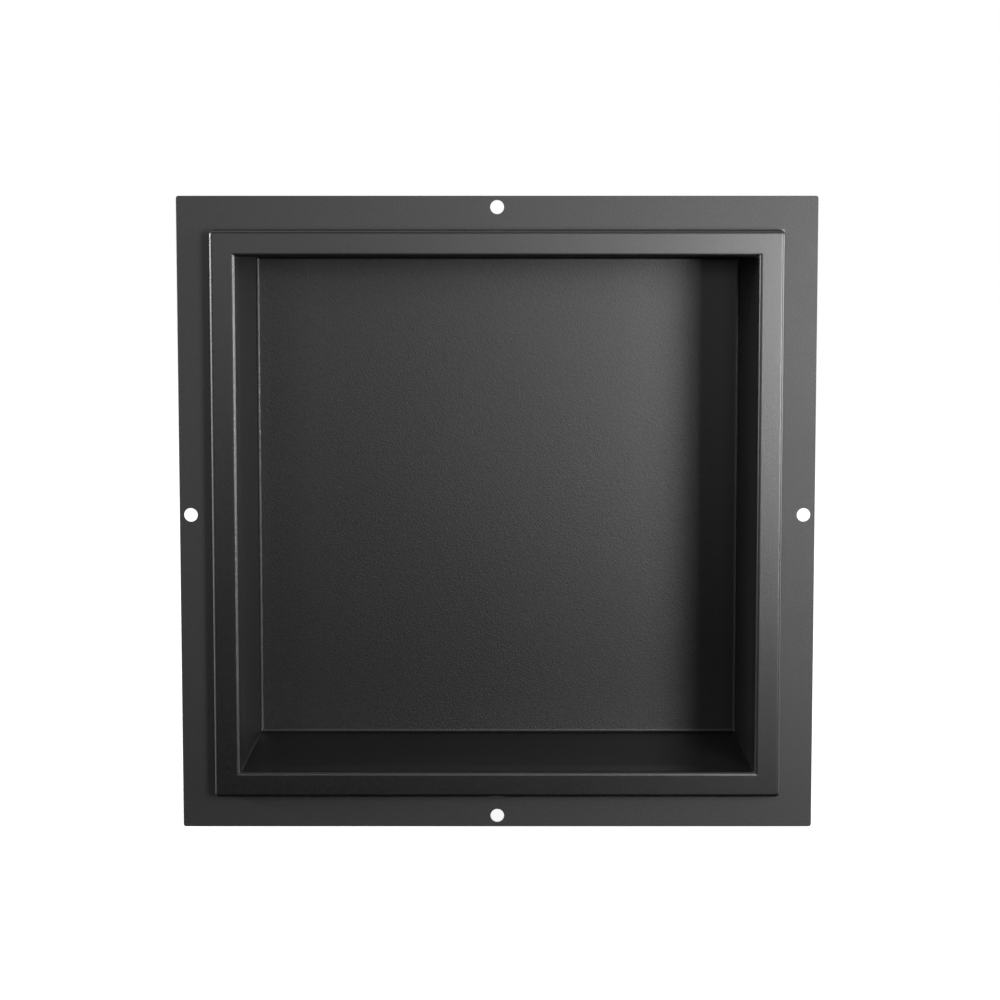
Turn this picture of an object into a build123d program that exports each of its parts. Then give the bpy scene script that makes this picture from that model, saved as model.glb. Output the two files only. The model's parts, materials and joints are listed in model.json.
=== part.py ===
"""Shower niche insert: one folded sheet with welded corners, coated black.

The screw flange lies flat on the wall, the raised frame stands out to meet the tiles, and the box
goes back into the wall. The front is -Y, up is +Z, and the origin is the centre of the flange's back.
"""

import os

from build123d import *

# Driving dimensions, in millimetres
opening_width = 300.0
opening_height = 300.0
face_width = 15.0
face_stand_out = 11.0
flange_width = 20.0
flange_corner_radius = 1.5
box_depth = 90.0
sheet = 1.2
fold_inside_radius = 1.0
back_inside_radius = 2.0
corner_ease = 0.3
weld_radius = 1.0
rim_radius = 0.3
hole_diameter = 8.0
hole_inset = 6.5

# A fold is rounder on its outside
fold_outside_radius = fold_inside_radius + sheet
back_outside_radius = back_inside_radius + sheet

# Overall sizes of the frame and of the flange round it
frame_width = opening_width + 2 * face_width
frame_height = opening_height + 2 * face_width
outer_width = frame_width + 2 * flange_width
outer_height = frame_height + 2 * flange_width

# The holes' centres, from the middle of the flange
hole_reach_x = outer_width / 2 - hole_inset
hole_reach_z = outer_height / 2 - hole_inset

# Depths along the wall's normal, with the back of each form well behind the box
niche_depth = face_stand_out + box_depth - sheet
form_depth = 2 * box_depth

# Planes parallel to the wall, where a positive offset is towards the room
wall_plane = Plane.XZ
flange_front = wall_plane.offset(sheet)
face_front = wall_plane.offset(face_stand_out)
form_back = wall_plane.offset(-form_depth)


def form_behind(inset, foot_radius, face_radius, back_radius):
    """Thick block with the sheet's profile, its front that far behind the sheet's front skin."""
    with BuildPart() as form:
        with BuildSketch(form_back):
            RectangleRounded(outer_width + 2 * inset, outer_height + 2 * inset, flange_corner_radius)
        extrude(amount=form_depth + sheet - inset)
        with BuildSketch(flange_front.offset(-inset)):
            RectangleRounded(frame_width - 2 * inset, frame_height - 2 * inset, face_radius + corner_ease)
        extrude(amount=face_stand_out - sheet)
        with BuildSketch(face_front.offset(-inset)):
            Rectangle(opening_width + 2 * inset, opening_height + 2 * inset)
        extrude(amount=-niche_depth, mode=Mode.SUBTRACT)

        # Hollow fold round the frame's foot
        face, flange, *_ = form.faces().filter_by(Axis.Y).sort_by(Axis.Y)
        fillet(flange.inner_wires().edges(), foot_radius)

        # Hollow fold round the back of the box
        face, flange, back_wall, _ = form.faces().filter_by(Axis.Y).sort_by(Axis.Y)
        fillet(back_wall.edges(), back_radius)

        # Proud folds, round both edges of the face and mitred at the opening's corners
        face = form.faces().sort_by(Axis.Y)[0]
        fillet(face.edges(), face_radius)
    return form.part


front_form = form_behind(0, fold_inside_radius, fold_outside_radius, back_inside_radius)
back_form = form_behind(sheet, fold_outside_radius, fold_inside_radius, back_outside_radius)

with BuildPart() as niche:
    # The sheet is what lies between its front skin and its back skin
    add(front_form)
    add(back_form, mode=Mode.SUBTRACT)

    # The flange's front rim, softened by the coating
    face, face_back, flange, *_ = niche.faces().filter_by(Axis.Y).sort_by(Axis.Y)
    fillet(flange.outer_wire().edges(), rim_radius)

    # A screw hole in the middle of each side of the flange
    with BuildSketch(flange_front):
        with Locations((hole_reach_x, 0), (-hole_reach_x, 0), (0, hole_reach_z), (0, -hole_reach_z)):
            Circle(hole_diameter / 2)
    extrude(amount=-sheet, mode=Mode.SUBTRACT)

    # Weld along the box's four corners, from the face's folds to the back
    with BuildSketch(face_front.offset(-fold_outside_radius)):
        Rectangle(opening_width, opening_height)
        RectangleRounded(opening_width, opening_height, weld_radius, mode=Mode.SUBTRACT)
    extrude(amount=fold_outside_radius - niche_depth)

niche.part.label = "niche_body"

os.makedirs("parts", exist_ok=True)
export_step(niche.part, "parts/niche_body.step")
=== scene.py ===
"""The shower niche insert as it looks: its black coating, a studio round it and the photograph's camera.

Metres throughout, in the part's own frame: the front is -Y, up is +Z and the wall plane is y = 0.
Angles are in degrees, and an azimuth turns from the front to the right.
"""

import json
import math

import bpy
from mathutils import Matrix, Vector


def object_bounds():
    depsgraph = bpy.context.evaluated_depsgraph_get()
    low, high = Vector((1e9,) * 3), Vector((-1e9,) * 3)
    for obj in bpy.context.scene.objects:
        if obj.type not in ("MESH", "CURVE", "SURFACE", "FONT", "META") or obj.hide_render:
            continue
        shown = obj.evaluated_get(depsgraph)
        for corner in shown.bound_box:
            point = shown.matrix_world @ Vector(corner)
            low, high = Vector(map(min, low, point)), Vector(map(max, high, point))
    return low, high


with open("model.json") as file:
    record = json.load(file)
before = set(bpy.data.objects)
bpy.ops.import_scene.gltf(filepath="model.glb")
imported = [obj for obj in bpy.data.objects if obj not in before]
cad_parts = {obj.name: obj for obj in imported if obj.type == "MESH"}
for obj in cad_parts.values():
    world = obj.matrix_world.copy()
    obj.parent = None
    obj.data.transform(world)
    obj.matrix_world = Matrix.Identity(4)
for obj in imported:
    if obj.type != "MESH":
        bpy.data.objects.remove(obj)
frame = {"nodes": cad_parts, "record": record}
cad_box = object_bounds()
body = frame["nodes"]["niche_body"]
niche_box = frame["record"]["physics"]["openings"][0]["box_m"]

MM = 0.001
WHITE = (1, 1, 1, 1)

# Sizes of the part that the finish follows
FACE_WIDTH = 15 * MM
OPENING_CLEARANCE = 1 * MM
opening_half = niche_box[1][0] + OPENING_CLEARANCE
frame_half = opening_half + FACE_WIDTH

# Where the finish changes: outside the frame's edge for the flange, behind the wall plane for the box
FLANGE_CHANGE = (0.3 * MM, 1.3 * MM)
BOX_CHANGE = (0 * MM, 10 * MM)

# The black coating on the face, on the flange and in the box. On black, metallic only takes shine away.
COATING_IOR = 1.75
ROUGHNESS = {"face": 0.360, "flange": 0.555, "box": 0.445}
METALLIC = {"face": 0.0, "flange": 0.0, "box": 0.18}
GRAIN_STRENGTH = {"face": 0.4, "flange": 0.95, "box": 1.0}

# Its grain, as fine as a spray leaves it, a little paler on the peaks
GRAIN_SIZE = 0.67 * MM
GRAIN_HEIGHT = 0.063 * MM
GRAIN_DETAIL = 0.0
GRAIN_RANGE = (0.25, 0.75)
GRAIN_TINT = (0.0, 0.006)

# The slow unevenness of its gloss
MOTTLE_SIZE = 70 * MM
MOTTLE_DETAIL = 3.0
MOTTLE_RANGE = (0.3, 0.7)
MOTTLE = (-0.008, 0.008)

# The photograph's camera, level with the opening's upper edge and looking a little down
CAMERA_PLACE = (0.0043, -1.167, 0.151)
CAMERA_PITCH = 4.54
CAMERA_LENS = 72.55
CAMERA_SENSOR = 36.0
CAMERA_SHIFT = (-0.0046, -0.085)

# Lamps that stand round the object: their distance along the floor, the heights of their lower and upper
# edges from the origin, and the light that they give there
LAMPS = {
    "key": dict(azimuth=29.8, distance=1.0, width=0.30, lower=-0.12, upper=0.42, light=2.05),
    "key_core": dict(azimuth=28.5, distance=1.1, width=0.14, lower=-0.15, upper=0.30, light=0.56),
    "front_fill": dict(azimuth=3.5, distance=1.3, width=0.40, lower=0.15, upper=0.35, light=0.20),
    "left_fill": dict(azimuth=-20.0, distance=1.3, width=0.32, lower=0.00, upper=0.80, light=0.20),
    "left_strip": dict(azimuth=-88.0, distance=2.5, width=1.70, lower=0.30, upper=0.75, light=4.0),
    "right_strip": dict(azimuth=80.0, distance=2.5, width=1.20, lower=-0.18, upper=0.80, light=2.3),
}
OVERHEAD = dict(azimuth=24.0, elevation=52.0, distance=2.5, size=(1.2, 1.2), light=0.24)

# The room is white, with little of that light on the object
WORLD_AMBIENT = 0.03

# Black cloth in front of the object and overhead, which stops short of the wall plane
CLOTH_TONE = 0.0
CLOTH_REACH = 5.0
CLOTH_HALF_WIDTH = 6.0
CLOTH_GAP_OVERHEAD = 1.4

# Pale floor just under the flange. Its lift to white grows between two distances from the origin.
FLOOR_GAP = 1 * MM
FLOOR_HALF = 6.0
FLOOR_COLOUR = (0.82, 0.82, 0.82, 1)
FLOOR_LIFT = (0.85, 1.0)
FLOOR_LIFT_RADIUS = (0.3, 1.3)


class Nodes:
    """Adds nodes to a material or world and links them, one call for each node."""

    def __init__(self, owner):
        owner.use_nodes = True
        self.tree = owner.node_tree
        self.tree.nodes.clear()

    def put(self, socket, value):
        """Link a socket to an output, or set its value."""
        if isinstance(value, bpy.types.NodeSocket):
            self.tree.links.new(value, socket)
        else:
            socket.default_value = value

    def add(self, kind, *values, **inputs):
        """New node, with its first inputs in order and others by name, and its outputs."""
        node = self.tree.nodes.new(kind)
        for socket, value in zip(node.inputs, values):
            self.put(socket, value)
        for name, value in inputs.items():
            self.put(node.inputs[name.replace("_", " ")], value)
        return node.outputs

    def operate(self, kind, operation, *values):
        """New node for one operation on numbers or vectors, and its outputs."""
        outputs = self.add(kind, *values)
        outputs[0].node.operation = operation
        return outputs

    def math(self, operation, *values):
        return self.operate("ShaderNodeMath", operation, *values)[0]

    def ramp(self, value, start, end, low=0.0, high=1.0):
        """Smooth change from the low to the high value while the input goes from start to end."""
        outputs = self.add("ShaderNodeMapRange", value, start, end, low, high)
        outputs[0].node.interpolation_type = "SMOOTHSTEP"
        return outputs[0]


def by_zone(nodes, zones, values):
    """The face's value, blended into the flange's and the box's where these zones are."""
    total = values["face"]
    for zone, mask in zones.items():
        total = nodes.math("ADD", total, nodes.math("MULTIPLY", mask, values[zone] - values["face"]))
    return total


def black_coating():
    """Satin black coating with a fine grain, smoother on the face than in the box and on the flange."""
    material = bpy.data.materials.new("black_coating")
    nodes = Nodes(material)
    place = nodes.add("ShaderNodeTexCoord")["Object"]
    along = nodes.add("ShaderNodeSeparateXYZ", place)
    ring = nodes.math("MAXIMUM", nodes.math("ABSOLUTE", along["X"]), nodes.math("ABSOLUTE", along["Z"]))
    outside = nodes.math("SUBTRACT", ring, frame_half)
    zones = {
        "flange": nodes.ramp(outside, *FLANGE_CHANGE),
        "box": nodes.ramp(along["Y"], *BOX_CHANGE),
    }

    grain = nodes.add("ShaderNodeTexNoise", Vector=place, Scale=1 / GRAIN_SIZE, Detail=GRAIN_DETAIL)["Fac"]
    tint = nodes.ramp(grain, *GRAIN_RANGE, *GRAIN_TINT)
    strength = by_zone(nodes, zones, GRAIN_STRENGTH)
    bump = nodes.add("ShaderNodeBump", Height=grain, Strength=strength, Distance=GRAIN_HEIGHT)["Normal"]

    cloud = nodes.add("ShaderNodeTexNoise", Vector=place, Scale=1 / MOTTLE_SIZE, Detail=MOTTLE_DETAIL)["Fac"]
    mottle = nodes.ramp(cloud, *MOTTLE_RANGE, *MOTTLE)
    roughness = nodes.math("ADD", by_zone(nodes, zones, ROUGHNESS), mottle)
    metallic = by_zone(nodes, zones, METALLIC)
    shader = nodes.add("ShaderNodeBsdfPrincipled", Base_Color=tint, IOR=COATING_IOR, Roughness=roughness,
                       Metallic=metallic, Normal=bump)
    nodes.add("ShaderNodeOutputMaterial", Surface=shader["BSDF"])
    return material


def seen_white(nodes):
    """1 for a ray that shows the background: straight from the camera, by gloss or through glass."""
    path = nodes.add("ShaderNodeLightPath")
    seen = nodes.math("MAXIMUM", path["Is Camera Ray"], path["Is Glossy Ray"])
    return nodes.math("MAXIMUM", seen, path["Is Transmission Ray"])


def make_world():
    """Room that is white where it is seen and dim as a light."""
    world = bpy.data.worlds.new("studio")
    bpy.context.scene.world = world
    nodes = Nodes(world)
    strength = nodes.ramp(seen_white(nodes), 0, 1, WORLD_AMBIENT, 1)
    light = nodes.add("ShaderNodeBackground", Color=WHITE, Strength=strength)
    nodes.add("ShaderNodeOutputWorld", Surface=light["Background"])


def stage_sheet(name, corners, faces, material):
    """Sheet of the studio, which isn't part of the object."""
    mesh = bpy.data.meshes.new(name)
    mesh.from_pydata(corners, [], faces)
    mesh.materials.append(material)
    sheet = bpy.data.objects.new(name, mesh)
    bpy.context.scene.collection.objects.link(sheet)
    return sheet


def floor_finish():
    """Pale floor, lifted towards white where it is seen, with the shadow kept."""
    material = bpy.data.materials.new("floor")
    nodes = Nodes(material)
    pale = nodes.add("ShaderNodeBsdfDiffuse", Color=FLOOR_COLOUR)
    place = nodes.add("ShaderNodeTexCoord")["Object"]
    flat = nodes.operate("ShaderNodeVectorMath", "MULTIPLY", place, (1, 1, 0))["Vector"]
    away = nodes.operate("ShaderNodeVectorMath", "LENGTH", flat)["Value"]
    white = nodes.ramp(away, *FLOOR_LIFT_RADIUS, *FLOOR_LIFT)
    strength = nodes.math("MULTIPLY", seen_white(nodes), white)
    lift = nodes.add("ShaderNodeEmission", Color=WHITE, Strength=strength)
    both = nodes.add("ShaderNodeAddShader", pale["BSDF"], lift["Emission"])
    nodes.add("ShaderNodeOutputMaterial", Surface=both["Shader"])
    return material


def make_floor():
    """Wide floor just under the flange."""
    level = cad_box[0].z - FLOOR_GAP
    corners = [(x * FLOOR_HALF, y * FLOOR_HALF, level) for x, y in ((-1, -1), (1, -1), (1, 1), (-1, 1))]
    stage_sheet("floor", corners, [(0, 1, 2, 3)], floor_finish())


def make_cloth():
    """Black cloth over the floor in front, up and overhead, open to both sides, shown by gloss alone."""
    material = bpy.data.materials.new("cloth")
    nodes = Nodes(material)
    black = nodes.add("ShaderNodeEmission", Color=WHITE, Strength=CLOTH_TONE)
    nodes.add("ShaderNodeOutputMaterial", Surface=black["Emission"])

    level = cad_box[0].z - FLOOR_GAP / 2
    profile = [(0, level), (-CLOTH_REACH, level), (-CLOTH_REACH, CLOTH_REACH),
               (-CLOTH_GAP_OVERHEAD, CLOTH_REACH)]
    corners = [(side * CLOTH_HALF_WIDTH, y, z) for y, z in profile for side in (-1, 1)]
    faces = [(2 * i, 2 * i + 1, 2 * i + 3, 2 * i + 2) for i in range(len(profile) - 1)]
    cloth = stage_sheet("cloth", corners, faces, material)
    cloth.visible_camera = False
    cloth.visible_diffuse = False
    cloth.visible_shadow = False
    cloth.visible_transmission = False


def direction(azimuth, elevation=0):
    """Unit vector from the origin that way."""
    turn = math.radians(azimuth)
    rise = math.radians(elevation)
    return Vector((math.sin(turn) * math.cos(rise), -math.cos(turn) * math.cos(rise), math.sin(rise)))


def make_lamp(name, place, towards, size, light):
    """Soft rectangular lamp, its back turned that way, that gives that much light at the origin."""
    data = bpy.data.lights.new(name, "AREA")
    data.shape = "RECTANGLE"
    data.size, data.size_y = size
    data.energy = light * math.pi * place.length_squared
    lamp = bpy.data.objects.new(name, data)
    lamp.location = place
    lamp.rotation_euler = towards.to_track_quat("Z", "Y").to_euler()
    lamp.visible_camera = False
    bpy.context.scene.collection.objects.link(lamp)


def make_lamps():
    """The lamps that stand round the object, upright, and the one overhead, which faces the origin."""
    for name, lamp in LAMPS.items():
        towards = direction(lamp["azimuth"])
        middle = (lamp["lower"] + lamp["upper"]) / 2
        place = towards * lamp["distance"] + Vector((0, 0, middle))
        make_lamp(name, place, towards, (lamp["width"], lamp["upper"] - lamp["lower"]), lamp["light"])
    towards = direction(OVERHEAD["azimuth"], OVERHEAD["elevation"])
    make_lamp("overhead", towards * OVERHEAD["distance"], towards, OVERHEAD["size"], OVERHEAD["light"])


def make_camera():
    """The photograph's view."""
    data = bpy.data.cameras.new("camera")
    data.lens = CAMERA_LENS
    data.sensor_width = CAMERA_SENSOR
    data.shift_x, data.shift_y = CAMERA_SHIFT
    camera = bpy.data.objects.new("camera", data)
    camera.location = CAMERA_PLACE
    camera.rotation_euler = (math.radians(90 - CAMERA_PITCH), 0, 0)
    bpy.context.scene.collection.objects.link(camera)
    bpy.context.scene.camera = camera


body.data.materials.clear()
body.data.materials.append(black_coating())
make_world()
make_floor()
make_cloth()
make_lamps()
make_camera()
bpy.context.scene.view_settings.view_transform = "Standard"
